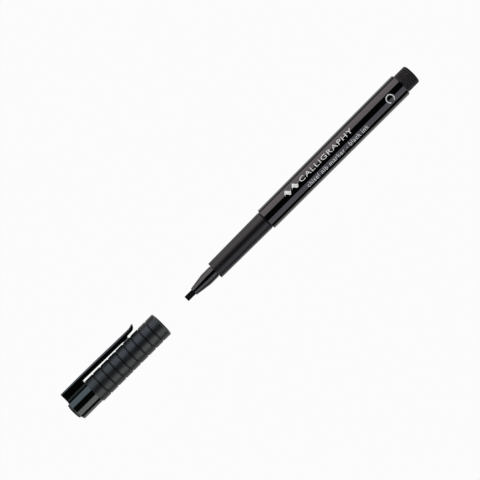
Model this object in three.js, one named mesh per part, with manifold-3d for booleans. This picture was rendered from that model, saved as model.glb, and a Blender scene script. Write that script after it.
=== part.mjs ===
// Calligraphy marker with a chisel fibre nib, and its cap, drawn off along the pen's own axis.
// Millimetres. +X runs along the axis from the writing edge to the rear end, +Z is up,
// and the cap's clip is on the +Y side. The origin is the middle of the writing edge.
import * as THREE from "three";
import { mergeVertices } from "three/addons/utils/BufferGeometryUtils.js";
import Module from "manifold-3d";

const wasm = await Module();
wasm.setup();

// ---------------------------------------------------------------- driving dimensions

const FACETS = 48; // sides of every turned piece, with a flat side underneath
const FIT = 0.05; // radial room between pieces that are pushed into each other
const SEAT = 0.1; // room along the axis where two pieces butt
const FILLET_STEPS = 3; // points on a small rounded edge

// Stations along the pen, measured from the writing edge.
const NOSE_FRONT = 4.2;
const GRIP_FRONT = 16.4;
const BARREL_FRONT = 46.1;
const BARREL_REAR = 124.2;
const PEN_REAR = 130.8;

// Outer radii.
const NOSE_TIP_RADIUS = 1.8;
const NOSE_RADIUS = 2.83;
const GRIP_RADII = { front: 4.0, rear: 4.3 };
const BARREL_RADII = { front: 5.04, rear: 5.27 };
const PLUG_RADIUS = 4.45;
const CROWN_RADIUS = 5.25;
const SLEEVE_RADIUS = 5.62;

// The nib's blade and the round shank behind it.
const NIB = { width: 2.5, thickness: 1.45, edge: 0.45, bevel: 2.6, blade: 13, shankRadius: 1.1, end: 29 };

// The ink store.
const STORE = { front: 24, rear: 122.3, radius: 2.95, film: 0.1 };

// The cap, measured as a depth from its mouth.
const CAP_GAP = 14.4; // from the cap's mouth to the writing edge
const SLEEVE_LENGTH = 38.9;
const CROWN_END = 49.7;
const BANDS = 9; // plain bands on the sleeve, with a groove between each two
const GROOVE = { width: 0.62, depth: 0.26 };
const CAP_BORE = 4.45;
const LINER = { mouth: 30.4, step: 31, bore: 3.0, lip: 2.9, wall: 0.7, floor: 46.85, end: 47.35 };
const DISC = { radius: 3.6, face: 51.05, seat: 48.7, stem: 1.15, rim: 0.5, crown: 0.1 };

// The clip. Its arm is outlined by points of depth from the mouth and height from the axis.
const CLIP = { width: 3.8, rootFront: 39.2, rootTop: 8.8, rootCorner: 0.5 };
const ARM_UNDERSIDE = [[38.9, 6.4], [16.4, 5.9], [15.8, 5.7]];
const TOOTH = [[13.8, 5.7], [13.4, 6.42]];
const TIP_UNDERSIDE = [[11.2, 6.43], [10.5, 6.52], [10.0, 6.68], [9.6, 6.95], [9.2, 7.35], [8.9, 7.95]];
const TIP_FRONT = [[8.7, 8.3], [8.75, 8.6], [9.0, 8.77]];
const TIP_OUTSIDE = [[9.3, 8.72], [9.6, 8.58], [10.0, 8.4], [10.5, 8.27]];
const ARM_OUTSIDE = [[11.2, 8.24], [17.2, 8.35], [30.0, 8.66], [38.9, 8.74]];

// ---------------------------------------------------------------- finishes

const finish = (color, roughness) => new THREE.MeshStandardMaterial({ color, roughness, metalness: 0 });
const GLOSS_BLACK = finish(0x0b0b0c, 0.12);
const MATT_BLACK = finish(0x1b1c1e, 0.6);
const PLUG_BLACK = finish(0x161617, 0.5);
const NIB_BLACK = finish(0x050505, 0.9);
const INK_FIBRE = finish(0x101014, 0.95);
const CLEAR_FILM = finish(0xd8dcde, 0.2);
const LINER_WHITE = finish(0xe6e4de, 0.45);

// ---------------------------------------------------------------- building helpers

/** A geometry turned about +X from a profile of [x, radius] points, which closes or ends on the axis. */
function turned(profile) {
  const points = profile.map(([x, r]) => new THREE.Vector2(r, x));
  return new THREE.LatheGeometry(points, FACETS, Math.PI / FACETS).rotateZ(-Math.PI / 2);
}

/** A tube turned from its outer points, front to rear, and its bore's points, rear to front. */
function turnedTube(outer, bore) {
  return turned([...outer, ...bore, outer[0]]);
}

/** Points of a quarter-round edge from one [x, radius] point to another, bulging away from the axis. */
function roundEdge([x0, r0], [x1, r1], steps = FILLET_STEPS) {
  const rising = r1 > r0;
  return Array.from({ length: steps + 1 }, (_, i) => {
    const turn = (i / steps) * (Math.PI / 2);
    const [along, up] = rising ? [1 - Math.cos(turn), Math.sin(turn)] : [Math.sin(turn), 1 - Math.cos(turn)];
    return [x0 + (x1 - x0) * along, r0 + (r1 - r0) * up];
  });
}

/** A closed geometry as a solid that can be joined and cut. */
function toSolid(geometry) {
  const flat = geometry.index ? geometry.toNonIndexed() : geometry;
  const bare = new THREE.BufferGeometry().setAttribute("position", flat.getAttribute("position"));
  const merged = mergeVertices(bare, 1e-4);
  return new wasm.Manifold(
    new wasm.Mesh({
      numProp: 3,
      vertProperties: merged.attributes.position.array,
      triVerts: new Uint32Array(merged.index.array),
    }),
  );
}

/** A solid as a geometry. */
function toGeometry(solid) {
  const { vertProperties, triVerts } = solid.getMesh();
  return new THREE.BufferGeometry()
    .setAttribute("position", new THREE.BufferAttribute(vertProperties, 3))
    .setIndex(new THREE.BufferAttribute(triVerts, 1));
}

/** A box geometry between two corners. */
function boxBetween([x0, y0, z0], [x1, y1, z1]) {
  const box = new THREE.BoxGeometry(x1 - x0, y1 - y0, z1 - z0);
  return box.translate((x0 + x1) / 2, (y0 + y1) / 2, (z0 + z1) / 2);
}

/** A named mesh whose front face stands at a station along its group's axis. */
function piece(name, geometry, material, station = 0) {
  const mesh = new THREE.Mesh(geometry, material);
  mesh.name = name;
  mesh.position.x = station;
  return mesh;
}

// ---------------------------------------------------------------- the pen

/** Long glossy tube, slightly thicker at the rear, with ribs inside that centre the ink store. */
function barrel() {
  const length = BARREL_REAR - BARREL_FRONT;
  const edge = 0.2;
  const bore = 4.15;
  const { front, rear } = BARREL_RADII;
  const tube = turnedTube(
    [
      ...roundEdge([0, front - edge], [edge, front]),
      ...roundEdge([length - edge, rear], [length, rear - edge]),
    ],
    [
      [length, bore],
      [0, bore],
    ],
  );
  const ribCount = 6;
  const rib = { from: 14, to: 68, thickness: 0.7, top: STORE.radius + STORE.film + 0.15, root: 0.3 };
  let solid = toSolid(tube);
  for (let i = 0; i < ribCount; i++) {
    const half = rib.thickness / 2;
    const blade = boxBetween([rib.from, rib.top, -half], [rib.to, bore + rib.root, half]);
    solid = solid.add(toSolid(blade.rotateX((i * 2 * Math.PI) / ribCount)));
  }
  return piece("barrel", toGeometry(solid), GLOSS_BLACK, BARREL_FRONT);
}

/** Matt section the fingers hold, with a spigot that is pressed into the barrel's front. */
function gripSection() {
  const length = BARREL_FRONT - GRIP_FRONT - SEAT;
  const edge = 0.3;
  const spigot = { radius: 4.15 - FIT, length: 11.5, lead: 0.4 };
  const bore = { front: NOSE_RADIUS + FIT, rear: 3.2, step: 3.7 };
  const { front, rear } = GRIP_RADII;
  const end = length + spigot.length;
  return piece(
    "grip_section",
    turnedTube(
      [
        ...roundEdge([0, front - edge], [edge, front]),
        [length, rear],
        [length, spigot.radius],
        [end - spigot.lead, spigot.radius],
        [end, spigot.radius - spigot.lead],
      ],
      [
        [end, bore.rear],
        [bore.step, bore.rear],
        [bore.step, bore.front],
        [0, bore.front],
      ],
    ),
    MATT_BLACK,
    GRIP_FRONT,
  );
}

/** Glossy cone that carries the nib, held in the grip section by a flange. */
function noseCone() {
  const edge = 0.12;
  const shoulder = { start: 6.0, end: 8.2 }; // where the cone turns into the cylinder
  const coneRadius = 2.7;
  const bendRadius = (coneRadius + 2 * NOSE_RADIUS) / 3; // halfway through that turn
  const flange = { front: 16.0, rear: 17.2, radius: 3.15 };
  const tail = { end: 19.3, radius: 2.5 };
  const bore = 1.52;
  const outer = turned([
    [0, 0],
    ...roundEdge([0, NOSE_TIP_RADIUS - edge], [edge, NOSE_TIP_RADIUS]),
    [shoulder.start, coneRadius],
    [(shoulder.start + shoulder.end) / 2, bendRadius],
    [shoulder.end, NOSE_RADIUS],
    [flange.front, NOSE_RADIUS],
    [flange.front, flange.radius],
    [flange.rear, flange.radius],
    [flange.rear, tail.radius],
    [tail.end, tail.radius],
    [tail.end, 0],
  ]);
  const slot = { y: NIB.width / 2 + FIT, z: NIB.thickness / 2 + FIT, depth: 3 };
  const overrun = 0.5; // how far the slot runs on into the bore
  const slotCut = boxBetween([-1, -slot.y, -slot.z], [slot.depth + overrun, slot.y, slot.z]);
  const boreCut = turned([
    [slot.depth, 0],
    [slot.depth, bore],
    [tail.end + 1, bore],
    [tail.end + 1, 0],
  ]);
  const vent = { half: 0.25, rise: 0.35 }; // air groove along the top of the bore
  const ventCut = boxBetween([slot.depth, -vent.half, 0], [tail.end + 1, vent.half, bore + vent.rise]);
  const cuts = [slotCut, boreCut, ventCut];
  const solid = cuts.reduce((rest, cut) => rest.subtract(toSolid(cut)), toSolid(outer));
  return piece("nose_cone", toGeometry(solid), GLOSS_BLACK, NOSE_FRONT);
}

/** Chisel nib: a flat blade bevelled to the writing edge, on a round shank that feeds it. */
function nib() {
  const { width, thickness, edge, bevel, blade, shankRadius, end } = NIB;
  const side = new THREE.Shape();
  side.moveTo(0, -edge / 2);
  side.lineTo(bevel, -thickness / 2);
  side.lineTo(blade, -thickness / 2);
  side.lineTo(blade, thickness / 2);
  side.lineTo(bevel, thickness / 2);
  side.lineTo(0, edge / 2);
  side.closePath();
  const flat = new THREE.ExtrudeGeometry(side, { depth: width, bevelEnabled: false });
  flat.translate(0, 0, -width / 2).rotateX(-Math.PI / 2);
  const point = 2.5; // length of the shank's pointed end
  const shank = turned([
    [blade - 1, 0],
    [blade - 1, shankRadius],
    [end - point, shankRadius],
    [end, 0.25],
    [end, 0],
  ]);
  // The shank starts inside the blade's rear end, so that the two are one solid.
  return piece("nib", toGeometry(toSolid(flat).add(toSolid(shank))), NIB_BLACK);
}

/** Bonded fibre rod that stores the ink, with a pocket for the nib's shank. */
function inkStore() {
  const length = STORE.rear - STORE.front;
  const pocket = { depth: NIB.end - STORE.front + 0.4, radius: NIB.shankRadius + FIT };
  return piece(
    "ink_reservoir",
    turned([
      [pocket.depth, 0],
      [pocket.depth, pocket.radius],
      [0, pocket.radius],
      [0, STORE.radius],
      [length, STORE.radius],
      [length, 0],
    ]),
    INK_FIBRE,
    STORE.front,
  );
}

/** Clear film rolled round the fibre rod, open at both ends. */
function storeFilm() {
  const length = STORE.rear - STORE.front - 0.4;
  const inner = STORE.radius + 0.02;
  const outer = inner + STORE.film;
  return piece(
    "reservoir_film",
    turnedTube(
      [
        [0, outer],
        [length, outer],
      ],
      [
        [length, inner],
        [0, inner],
      ],
    ),
    CLEAR_FILM,
    STORE.front + 0.2,
  );
}

/** Fluted plug that closes the barrel's rear end and keeps the ink store forward. */
function endPlug() {
  const head = PEN_REAR - BARREL_REAR - SEAT;
  const spigot = { length: 8, radius: 4.15 - FIT, lead: 0.3 };
  const cup = { radius: 3.2, depth: 6.2 };
  const crown = { edge: 0.7, rise: 0.2 };
  const rimEnd = head - crown.rise;
  const base = turned([
    [cup.depth - spigot.length, 0],
    [cup.depth - spigot.length, cup.radius],
    [-spigot.length, cup.radius],
    [-spigot.length, spigot.radius - spigot.lead],
    [spigot.lead - spigot.length, spigot.radius],
    [0, spigot.radius],
    [0, PLUG_RADIUS - 0.15],
    [0.25, PLUG_RADIUS],
    ...roundEdge([rimEnd - crown.edge, PLUG_RADIUS], [rimEnd, PLUG_RADIUS - crown.edge]),
    [head, PLUG_RADIUS * 0.55],
    [head, 0],
  ]);
  const fluteCount = 36;
  const flute = { radius: 0.2, out: 0.07 };
  let solid = toSolid(base);
  for (let i = 0; i < fluteCount; i++) {
    const groove = new THREE.CylinderGeometry(flute.radius, flute.radius, head, 4, 1, false);
    groove.rotateZ(-Math.PI / 2).translate(head / 2 - 0.6, PLUG_RADIUS + flute.out, 0);
    solid = solid.subtract(toSolid(groove.rotateX(((i + 0.5) * 2 * Math.PI) / fluteCount)));
  }
  return piece("end_plug", toGeometry(solid), PLUG_BLACK, BARREL_REAR + SEAT);
}

// ---------------------------------------------------------------- the cap, mouth at x = 0, closed end at -x

/** Profile points given by depth from the mouth, as [x, radius]. */
const byDepth = (points) => points.map(([depth, r]) => [-depth, r]);

/** Glossy crown with the clip's root, and the thinner core tube that the sleeve is pressed onto. */
function capShell() {
  const core = { front: 1.6, radius: 4.95 };
  const edge = 0.45;
  const seat = { radius: DISC.radius + 0.1, depth: DISC.seat };
  const profile = byDepth([
    [core.front, CAP_BORE],
    [core.front, core.radius],
    [SLEEVE_LENGTH + SEAT, core.radius],
    [SLEEVE_LENGTH + SEAT, CROWN_RADIUS],
    [CROWN_END - edge, CROWN_RADIUS],
    [CROWN_END - edge * 0.3, CROWN_RADIUS - edge * 0.3],
    [CROWN_END, CROWN_RADIUS - edge],
    [CROWN_END, seat.radius],
    [seat.depth, seat.radius],
    [seat.depth, DISC.stem + FIT],
    [LINER.end + FIT, DISC.stem + FIT],
    [LINER.end + FIT, LINER.bore + LINER.wall + FIT],
    [LINER.step, LINER.bore + LINER.wall + FIT],
    [LINER.step, CAP_BORE],
    [core.front, CAP_BORE],
  ]).reverse();
  const { rootFront, rootTop, rootCorner } = CLIP;
  const base = 4.6; // inside the crown's wall, so that root and crown are one
  const side = new THREE.Shape();
  side.moveTo(-CROWN_END, base);
  side.lineTo(-rootFront, base);
  side.lineTo(-rootFront, rootTop - 0.05);
  side.lineTo(-CROWN_END + rootCorner, rootTop);
  side.absarc(-CROWN_END + rootCorner, rootTop - rootCorner, rootCorner, Math.PI / 2, Math.PI, false);
  side.closePath();
  const root = new THREE.ExtrudeGeometry(side, { depth: CLIP.width, bevelEnabled: false, curveSegments: 4 });
  root.translate(0, 0, -CLIP.width / 2);
  return piece("cap_shell", toGeometry(toSolid(turned(profile)).add(toSolid(root))), GLOSS_BLACK);
}

/** Matt sleeve with round grooves, which is also the cap's mouth. */
function capSleeve() {
  const edge = 0.2;
  const lip = 1.5; // the mouth's rim covers the core tube's front end
  const bore = 4.95 + FIT;
  const pitch = SLEEVE_LENGTH / BANDS;
  const outer = [[0, SLEEVE_RADIUS - edge], [edge, SLEEVE_RADIUS]];
  for (let i = 1; i < BANDS; i++) {
    outer.push([i * pitch - GROOVE.width / 2, SLEEVE_RADIUS]);
    outer.push([i * pitch, SLEEVE_RADIUS - GROOVE.depth]);
    outer.push([i * pitch + GROOVE.width / 2, SLEEVE_RADIUS]);
  }
  outer.push([SLEEVE_LENGTH - edge, SLEEVE_RADIUS], [SLEEVE_LENGTH, SLEEVE_RADIUS - edge]);
  const inner = [
    [SLEEVE_LENGTH, bore],
    [lip, bore],
    [lip, CAP_BORE],
    [0, CAP_BORE],
  ];
  return piece("cap_sleeve", turned(byDepth([...outer, ...inner, outer[0]]).reverse()), MATT_BLACK);
}

/** Inner cap: a cup whose lip closes on the nose cone, so that the nib doesn't dry out. */
function innerCap() {
  const outer = LINER.bore + LINER.wall;
  const lipEnd = LINER.mouth + 1;
  const profile = byDepth([
    [LINER.end, 0],
    [LINER.end, outer],
    [LINER.step - FIT, outer],
    [LINER.step - FIT, CAP_BORE - FIT],
    [LINER.mouth, CAP_BORE - FIT],
    [LINER.mouth, LINER.lip + 0.3],
    [LINER.mouth + 0.3, LINER.lip],
    [lipEnd, LINER.lip],
    [lipEnd + 0.3, LINER.bore],
    [LINER.floor, LINER.bore],
    [LINER.floor, 0],
  ]);
  return piece("inner_cap", turned(profile), LINER_WHITE);
}

/** Low button in the crown's end, pressed in by its stem. */
function capDisc() {
  const { rim, crown } = DISC;
  const profile = byDepth([
    [DISC.face, 0],
    [DISC.face, DISC.radius * 0.7],
    [DISC.face - crown, DISC.radius - rim],
    [DISC.face - crown - rim * 0.4, DISC.radius - rim * 0.2],
    [DISC.face - crown - rim, DISC.radius],
    [DISC.seat + FIT, DISC.radius],
    [DISC.seat + FIT, DISC.stem],
    [LINER.end + 2 * FIT, DISC.stem],
    [LINER.end + 2 * FIT, 0],
  ]);
  return piece("cap_end_disc", turned(profile), MATT_BLACK);
}

/** Spring arm of the clip, with the tooth that holds a pocket's edge and a rounded tip that is turned out. */
function capClip() {
  const outline = [ARM_UNDERSIDE, TOOTH, TIP_UNDERSIDE, TIP_FRONT, TIP_OUTSIDE, ARM_OUTSIDE].flat();
  const side = new THREE.Shape(outline.map(([depth, height]) => new THREE.Vector2(-depth, height)));
  const arm = new THREE.ExtrudeGeometry(side, { depth: CLIP.width, bevelEnabled: false });
  return piece("cap_clip", arm.translate(0, 0, -CLIP.width / 2), GLOSS_BLACK);
}

// ---------------------------------------------------------------- the assembly

const pen = new THREE.Group();
pen.add(barrel(), gripSection(), noseCone(), nib(), inkStore(), storeFilm(), endPlug());

const cap = new THREE.Group();
cap.position.x = -CAP_GAP;
cap.add(capShell(), capSleeve(), innerCap(), capDisc(), capClip());

const marker = new THREE.Group();
marker.add(pen, cap);

export default marker;
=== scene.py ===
"""A calligraphy marker with a chisel nib, and its grooved clip cap, drawn off in line with it."""

from __future__ import annotations

import logging
import math
from dataclasses import dataclass
from enum import Enum
from typing import Callable, Iterable, Protocol

import bpy
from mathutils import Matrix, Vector


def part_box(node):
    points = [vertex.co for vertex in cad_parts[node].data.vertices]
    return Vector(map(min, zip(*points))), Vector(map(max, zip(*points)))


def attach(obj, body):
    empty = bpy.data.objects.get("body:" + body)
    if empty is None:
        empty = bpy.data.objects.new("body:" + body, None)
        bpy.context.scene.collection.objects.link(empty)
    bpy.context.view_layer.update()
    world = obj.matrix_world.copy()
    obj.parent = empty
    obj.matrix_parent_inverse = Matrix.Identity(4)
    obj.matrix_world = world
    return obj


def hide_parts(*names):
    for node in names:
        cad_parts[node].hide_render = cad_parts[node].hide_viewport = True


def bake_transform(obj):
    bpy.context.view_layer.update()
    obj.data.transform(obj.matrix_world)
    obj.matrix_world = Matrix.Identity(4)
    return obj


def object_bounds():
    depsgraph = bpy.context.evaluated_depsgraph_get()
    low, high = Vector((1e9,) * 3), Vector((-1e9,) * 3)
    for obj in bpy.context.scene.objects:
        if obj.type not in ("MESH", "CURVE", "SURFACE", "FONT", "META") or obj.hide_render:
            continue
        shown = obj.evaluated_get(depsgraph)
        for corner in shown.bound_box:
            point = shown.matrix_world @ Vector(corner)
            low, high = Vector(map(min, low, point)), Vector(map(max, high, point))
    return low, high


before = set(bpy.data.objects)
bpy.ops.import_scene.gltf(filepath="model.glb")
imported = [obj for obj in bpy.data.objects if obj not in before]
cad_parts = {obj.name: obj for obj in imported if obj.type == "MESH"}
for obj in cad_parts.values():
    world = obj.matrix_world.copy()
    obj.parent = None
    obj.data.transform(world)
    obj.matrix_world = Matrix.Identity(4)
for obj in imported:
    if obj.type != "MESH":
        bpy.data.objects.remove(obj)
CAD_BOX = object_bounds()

LOG = logging.getLogger("marker")
MM = 0.001
SIDES = 128  # flats round a turned piece
TIP_SHARE = 0.02  # how far a ring closes before its points are merged on the axis
JOINT_GAP = 0.06 * MM  # room where two pieces butt
TOUCH = 0.002 * MM  # how near a point counts as being at a place
WELD = 1e-7  # how near two points count as one
SMOOTH_ANGLE = math.radians(32)
PEN_LINE = Vector((0, 0, 0))  # a point on the axis that every turned piece shares
PLASTIC_IOR = 1.5

Colour = tuple[float, float, float]
Point = tuple[float, float, float]
Pair = tuple[float, float]
PointTest = Callable[[Vector], bool]
FaceTest = Callable[[Vector, Vector], bool]


class Body(str, Enum):
    """The moving bodies of the frame."""

    PEN = "pen"
    CAP = "cap"
    CLIP = "clip"


# The pieces that share their soft boxes.
LIT: dict[Body, list[bpy.types.Object]] = {Body.PEN: [], Body.CAP: []}


class Slot(str, Enum):
    """The record's material slots."""

    BARREL = "barrel_gloss"
    NOSE = "nose_gloss"
    CAP = "cap_gloss"
    GRIP = "grip_matt"
    SLEEVE = "sleeve_matt"
    PLUG = "plug_matt"
    NIB = "nib_fibre"
    LINER = "liner"


# ---------------------------------------------------------------- finishes


def shaded(colour: Colour, share: float) -> Colour:
    """Gives a colour made darker or lighter by a share."""
    return tuple(share * c for c in colour)


class ShaderSheet:
    """A new material's node tree, with short ways to add and join its nodes."""

    SPOT_ROUGHNESS = 0.55
    NOISE_RANGE = (0.3, 0.7)
    COLOUR_STOPS = (0.32, 0.68)

    def __init__(self, name: str) -> None:
        """Starts a material that holds only its principled shader.

        Args:
            name: the material's name.
        """
        self.material = bpy.data.materials.new(name)
        self.material.use_nodes = True
        self.tree = self.material.node_tree
        self.shader = self.tree.nodes["Principled BSDF"]

    def add(self, kind: str, **values: object) -> bpy.types.Node:
        """Adds a node.

        Args:
            kind: the node's type name.
            values: input sockets to set by name, with _ for a space, and node settings that are no socket.

        Returns:
            The new node.
        """
        node = self.tree.nodes.new(kind)
        for name, value in values.items():
            socket = node.inputs.get(name.replace("_", " "))
            if socket is None:
                setattr(node, name, value)
            else:
                socket.default_value = value
        return node

    def set(self, **values: object) -> None:
        """Sets the shader's own sockets by name, with _ for a space."""
        for name, value in values.items():
            self.shader.inputs[name.replace("_", " ")].default_value = value

    def join(self, source: bpy.types.NodeSocket, target: bpy.types.NodeSocket) -> None:
        """Links one socket to another."""
        self.tree.links.new(source, target)

    def place(self, stretch: Point = (1, 1, 1)) -> bpy.types.NodeSocket:
        """Adds the piece's own coordinates in metres.

        Args:
            stretch: how much they are squeezed along each axis.

        Returns:
            The socket that gives them.
        """
        where = self.add("ShaderNodeTexCoord")
        mapping = self.add("ShaderNodeMapping", Scale=stretch)
        self.join(where.outputs["Object"], mapping.inputs["Vector"])
        return mapping.outputs["Vector"]

    def noise(self, where: bpy.types.NodeSocket, grain: float, detail: float = 2.0) -> bpy.types.NodeSocket:
        """Adds a noise.

        Args:
            where: the coordinates it reads.
            grain: how large its spots are, in metres.
            detail: how many finer layers it has.

        Returns:
            The socket that gives its share, from 0 to 1.
        """
        texture = self.add("ShaderNodeTexNoise", Scale=1 / grain, Detail=detail,
                           Roughness=self.SPOT_ROUGHNESS)
        self.join(where, texture.inputs["Vector"])
        return texture.outputs["Fac"]

    def colours(self, share: bpy.types.NodeSocket, dark: Colour, light: Colour) -> None:
        """Lets the base colour wander with a noise.

        Args:
            share: the noise.
            dark: the colour at its low end.
            light: the colour at its high end.
        """
        ramp = self.add("ShaderNodeValToRGB")
        for element, stop, colour in zip(ramp.color_ramp.elements, self.COLOUR_STOPS, (dark, light)):
            element.position = stop
            element.color = (*colour, 1)
        self.join(share, ramp.inputs["Fac"])
        self.join(ramp.outputs["Color"], self.shader.inputs["Base Color"])

    def roughness(self, share: bpy.types.NodeSocket, low: float, high: float) -> None:
        """Lets the roughness wander with a noise.

        Args:
            share: the noise.
            low: the roughness at the low end of its middle range.
            high: the roughness at the high end.
        """
        start, stop = self.NOISE_RANGE
        node = self.add("ShaderNodeMapRange", From_Min=start, From_Max=stop, To_Min=low, To_Max=high)
        self.join(share, node.inputs["Value"])
        self.join(node.outputs["Result"], self.shader.inputs["Roughness"])

    def relief(self, height: bpy.types.NodeSocket, depth: float,
               under: bpy.types.Node | None = None) -> bpy.types.Node:
        """Raises the surface.

        Args:
            height: the noise that raises it.
            depth: how far it rises where the noise is 1, in metres.
            under: another relief that it lies on.

        Returns:
            The relief, for one that lies on it.
        """
        bump = self.add("ShaderNodeBump", Strength=1.0, Distance=depth)
        self.join(height, bump.inputs["Height"])
        if under is not None:
            self.join(under.outputs["Normal"], bump.inputs["Normal"])
        self.join(bump.outputs["Normal"], self.shader.inputs["Normal"])
        return bump


class Finish(Protocol):
    """Anything that can dress a piece."""

    def material(self) -> bpy.types.Material:
        """Builds the material."""


@dataclass(frozen=True)
class GlossFinish:
    """Polished injection-moulded plastic: a faint waviness, and a few areas slightly less bright."""

    name: str
    colour: Colour
    rough: float = 0.07
    haze: float = 0.03
    haze_grain: float = 1.4 * MM
    patch: float = 9 * MM
    patch_shade: float = 0.8
    wave: float = 2.2 * MM
    wave_height: float = 0.0012 * MM

    def material(self) -> bpy.types.Material:
        """Builds the material.

        Returns:
            The material.
        """
        sheet = ShaderSheet(self.name)
        where = sheet.place()
        sheet.colours(sheet.noise(where, self.patch), shaded(self.colour, self.patch_shade), self.colour)
        sheet.roughness(sheet.noise(where, self.haze_grain, 4), self.rough, self.rough + self.haze)
        sheet.relief(sheet.noise(where, self.wave, 1), self.wave_height)
        sheet.set(IOR=PLASTIC_IOR)
        return sheet.material


@dataclass(frozen=True)
class GrainFinish:
    """Spark-eroded matt plastic: fine pits, with a roughness that wanders a little where hands polish it."""

    name: str
    colour: Colour
    rough: float = 0.33
    spread: float = 0.06
    polish: float = 6 * MM
    shine: float = 0.5
    mottle: float = 0.5 * MM
    mottle_shade: float = 1.35
    grain: float = 0.11 * MM
    grain_height: float = 0.006 * MM
    coarse_grain: float = 4.0
    coarse_height: float = 1.5

    def material(self) -> bpy.types.Material:
        """Builds the material.

        Returns:
            The material.
        """
        sheet = ShaderSheet(self.name)
        where = sheet.place()
        sheet.colours(sheet.noise(where, self.mottle, 4), self.colour, shaded(self.colour, self.mottle_shade))
        sheet.roughness(sheet.noise(where, self.polish, 3), self.rough, self.rough + self.spread)
        pits = sheet.noise(where, self.coarse_grain * self.grain, 2)
        coarse = sheet.relief(pits, self.coarse_height * self.grain_height)
        sheet.relief(sheet.noise(where, self.grain, 3), self.grain_height, under=coarse)
        sheet.set(IOR=PLASTIC_IOR, Specular_IOR_Level=self.shine)
        return sheet.material


@dataclass(frozen=True)
class FibreFinish:
    """Bonded fibres that all run along the pen, soaked with ink; the raised strands carry a painted glint,
    lighter in their colour.
    """

    name: str
    colour: Colour
    rough: float = 0.7
    spread: float = 0.2
    shine: float = 0.4
    # how much lighter the painted glint makes the raised strands
    painted_glint_shade: float = 2.2
    fibre: float = 0.05 * MM
    fibre_height: float = 0.02 * MM
    straightness: float = 0.04

    def material(self) -> bpy.types.Material:
        """Builds the material.

        Returns:
            The material.
        """
        sheet = ShaderSheet(self.name)
        strands = sheet.noise(sheet.place(stretch=(self.straightness, 1, 1)), self.fibre, 3)
        # painted glint: the colour is lighter where the strands' relief lifts them
        sheet.colours(strands, self.colour, shaded(self.colour, self.painted_glint_shade))
        sheet.roughness(strands, self.rough, self.rough + self.spread)
        sheet.relief(strands, self.fibre_height)
        sheet.set(Specular_IOR_Level=self.shine)
        return sheet.material


@dataclass(frozen=True)
class PrintFinish:
    """Pad-printed ink, a little thinner in places."""

    name: str
    colour: Colour = (0.80, 0.90, 0.82)
    thin_shade: float = 0.8
    thin_spot: float = 0.35 * MM
    rough: Pair = (0.4, 0.55)
    rough_spot: float = 0.2 * MM
    pimple: float = 0.12 * MM
    pimple_height: float = 0.002 * MM

    def material(self) -> bpy.types.Material:
        """Builds the material.

        Returns:
            The material.
        """
        sheet = ShaderSheet(self.name)
        where = sheet.place()
        thin = shaded(self.colour, self.thin_shade)
        sheet.colours(sheet.noise(where, self.thin_spot, 4), thin, self.colour)
        sheet.roughness(sheet.noise(where, self.rough_spot, 2), *self.rough)
        sheet.relief(sheet.noise(where, self.pimple, 2), self.pimple_height)
        return sheet.material


@dataclass(frozen=True)
class FilmFinish:
    """Clear rolled film with long, shallow wrinkles, whose hollows carry painted shade."""

    name: str
    colour: Colour = (0.82, 0.85, 0.86)
    # how dark the painted shade in the wrinkles' hollows is
    shade: float = 0.94
    clearness: float = 0.85
    ior: float = 1.45
    rough: Pair = (0.08, 0.2)
    wrinkle: float = 1.1 * MM
    wrinkle_height: float = 0.02 * MM
    straightness: float = 0.12

    def material(self) -> bpy.types.Material:
        """Builds the material.

        Returns:
            The material.
        """
        sheet = ShaderSheet(self.name)
        wrinkles = sheet.noise(sheet.place(stretch=(self.straightness, 1, 1)), self.wrinkle, 3)
        # painted shade: the colour is darker down in the wrinkles' hollows
        sheet.colours(wrinkles, shaded(self.colour, self.shade), self.colour)
        sheet.roughness(wrinkles, *self.rough)
        sheet.relief(wrinkles, self.wrinkle_height)
        sheet.set(Transmission_Weight=self.clearness, IOR=self.ior)
        return sheet.material


@dataclass(frozen=True)
class LightTableFinish:
    """Pale sheet lit faintly from below, as under small goods."""

    name: str = "light_table"
    colour: Colour = (0.12, 0.12, 0.12)
    shade: float = 0.99
    paper: float = 40 * MM
    glow: float = 0.97

    def material(self) -> bpy.types.Material:
        """Builds the material.

        Returns:
            The material.
        """
        sheet = ShaderSheet(self.name)
        paper = sheet.noise(sheet.place(), self.paper, 3)
        sheet.colours(paper, shaded(self.colour, self.shade), self.colour)
        sheet.set(Roughness=1.0, Specular_IOR_Level=0.0)
        sheet.set(Emission_Color=(1, 1, 1, 1), Emission_Strength=self.glow)
        return sheet.material


BARREL_GLOSS = GlossFinish("barrel_gloss_black", (0.0010, 0.0009, 0.0010))
NOSE_GLOSS = GlossFinish("nose_gloss_black", (0.0012, 0.0011, 0.0012), rough=0.06)
CAP_GLOSS = GlossFinish("cap_gloss_black", (0.0008, 0.0010, 0.0010))
GRIP_MATT = GrainFinish("grip_matt_black", (0.0013, 0.0012, 0.0013), rough=0.36, shine=0.35)
SLEEVE_MATT = GrainFinish("sleeve_matt_black", (0.0013, 0.0018, 0.0020), rough=0.38, shine=0.40)
PLUG_MATT = GrainFinish("plug_matt_black", (0.0022, 0.0022, 0.0023), rough=0.4, shine=0.36)
NIB_FIBRE = FibreFinish("nib_fibre_black", (0.0007, 0.0007, 0.0008), shine=0.16)
INK_FIBRE = FibreFinish("ink_fibre_black", (0.004, 0.004, 0.006), fibre=0.12 * MM)
WHITE_PRINT = PrintFinish("white_print")
CLEAR_FILM = FilmFinish("clear_film")
LINER_WAXY = GrainFinish("liner_natural_white", (0.5, 0.49, 0.46), rough=0.34, grain=0.3 * MM)
LIGHT_TABLE = LightTableFinish()
BLACK_CARD = GrainFinish("black_card", (0.002, 0.002, 0.002), rough=0.9)


# ---------------------------------------------------------------- working in mesh edit mode


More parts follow.
